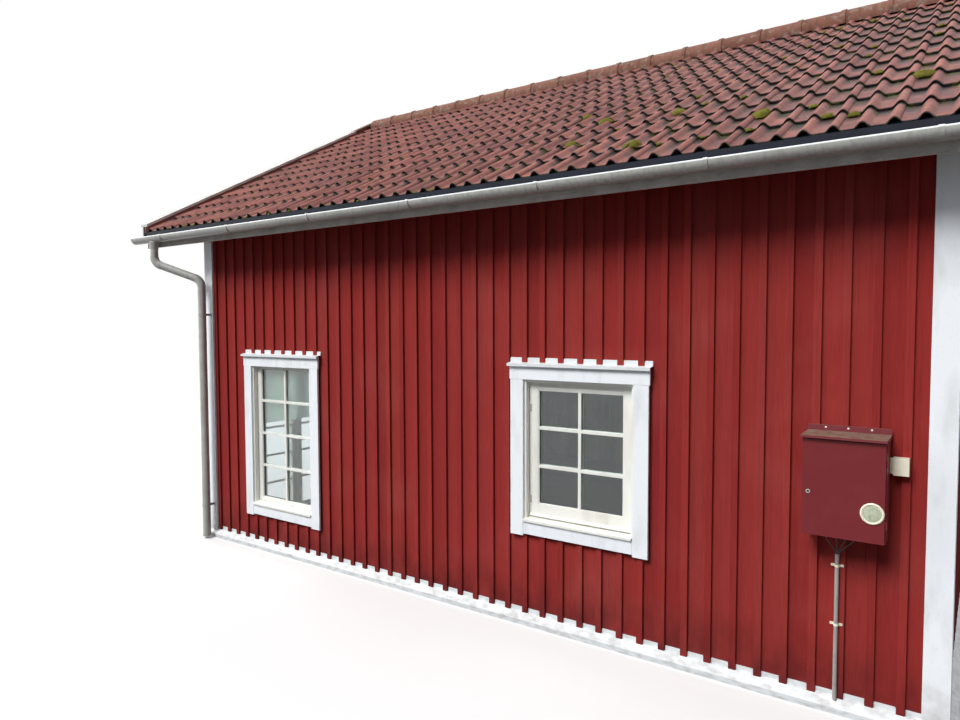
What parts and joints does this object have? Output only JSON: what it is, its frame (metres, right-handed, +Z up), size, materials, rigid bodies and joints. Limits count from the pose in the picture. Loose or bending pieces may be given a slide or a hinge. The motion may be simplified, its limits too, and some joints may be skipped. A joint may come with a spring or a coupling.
{
  "type": "boathouse",
  "caption": "Timber boathouse with red board-and-batten walls, white windows, glazed lake doors, tiled gable roof, gutters and a wall meter cabinet.",
  "frame": {"origin": "middle of the building on the ground, at the level the walls stand on", "axes": "+X along the front wall and the ridge, with the lake-side gable at -X; the front wall faces -Y; +Z is up"},
  "size_m": [8.668, 7.68, 5.6156],
  "materials": {
    "floor_boards": "worn grey-brown floor boards",
    "red_boarding": "matt falu-red painted boards and battens",
    "white_trim": "cool white painted planed boards",
    "white_sheet_metal": "white folded sheet, dirty at the foot",
    "sash_white": "warm white painted joinery",
    "window_glass": "clear double glazing",
    "roof_tiles": "red-brown concrete double-roll tiles with moss",
    "ridge_tiles": "orange-brown concrete ridge caps",
    "verge_paint": "off-white painted boards, weathered",
    "black_sheet_metal": "black coated folded sheet",
    "rainwater_metal": "off-white coated steel",
    "cabinet_red": "maroon enamelled steel",
    "cabinet_hood": "maroon enamelled steel under dirt",
    "cream_plastic": "cream plastic",
    "steel_fittings": "dull steel",
    "blind_cloth": "pale plain-woven roller blind cloth",
    "grey_conduit": "grey plastic conduit",
    "black_cable": "black sheathed cable"
  },
  "bodies": {
    "building": {"floor": "floor_boards", "front_wall": "red_boarding", "back_wall": "red_boarding", "left_gable_front_part": "red_boarding", "left_gable_back_part": "red_boarding", "left_gable_over_doors": "red_boarding", "right_gable_wall": "red_boarding", "corner_boards": "white_trim", "base_flashing": "white_sheet_metal", "front_window_frames": "sash_white", "front_window_sashes": "sash_white", "front_window_glass": "window_glass", "front_window_casings": "white_trim", "front_head_flashings": "white_sheet_metal", "back_window_frame": "sash_white", "back_window_sash": "sash_white", "back_window_glass": "window_glass", "back_window_casing": "white_trim", "back_head_flashing": "white_sheet_metal", "lake_door_frame": "sash_white", "lake_door_casing": "white_trim", "door_blind_roller": "sash_white", "door_blind": "blind_cloth", "front_roof_slope": "roof_tiles", "back_roof_slope": "roof_tiles", "ridge_caps": "ridge_tiles", "barge_boards": "verge_paint", "verge_planks": "verge_paint", "fascias": "verge_paint", "eave_strips": "black_sheet_metal", "front_gutter": "rainwater_metal", "back_gutter": "rainwater_metal", "gutter_brackets": "rainwater_metal", "front_downpipe": "rainwater_metal", "back_downpipe": "rainwater_metal", "pipe_clips": "rainwater_metal", "meter_cabinet": "cabinet_red", "cabinet_hood": "cabinet_hood", "junction_box": "cream_plastic", "cable_conduit": "grey_conduit", "conduit_clips": "grey_conduit", "meter_cables": "black_cable"},
    "lake_right_leaf": {"lake_door_right_leaf": "sash_white", "lake_door_right_glass": "window_glass"},
    "lake_left_leaf": {"lake_door_left_leaf": "sash_white", "lake_door_left_glass": "window_glass", "lake_door_handle": "steel_fittings"},
    "meter_door": {"cabinet_door": "cabinet_red", "reading_window": "cream_plastic", "cabinet_lock": "steel_fittings"}
  },
  "joints": [
    {"name": "lake_right_leaf_hinge", "type": "hinge", "parent": "building", "child": "lake_right_leaf", "pos_m": [-3.5865, -2.786, 1], "axis": [0, 0, 1], "range_deg": [0, 90]},
    {"name": "lake_left_leaf_hinge", "type": "hinge", "parent": "building", "child": "lake_left_leaf", "pos_m": [-3.5865, -1.502, 1], "axis": [0, 0, -1], "range_deg": [0, 90]},
    {"name": "meter_door_hinge", "type": "hinge", "parent": "building", "child": "meter_door", "pos_m": [3.272, -3.558, 1.445], "axis": [0, 0, 1], "range_deg": [0, 110]}
  ]
}
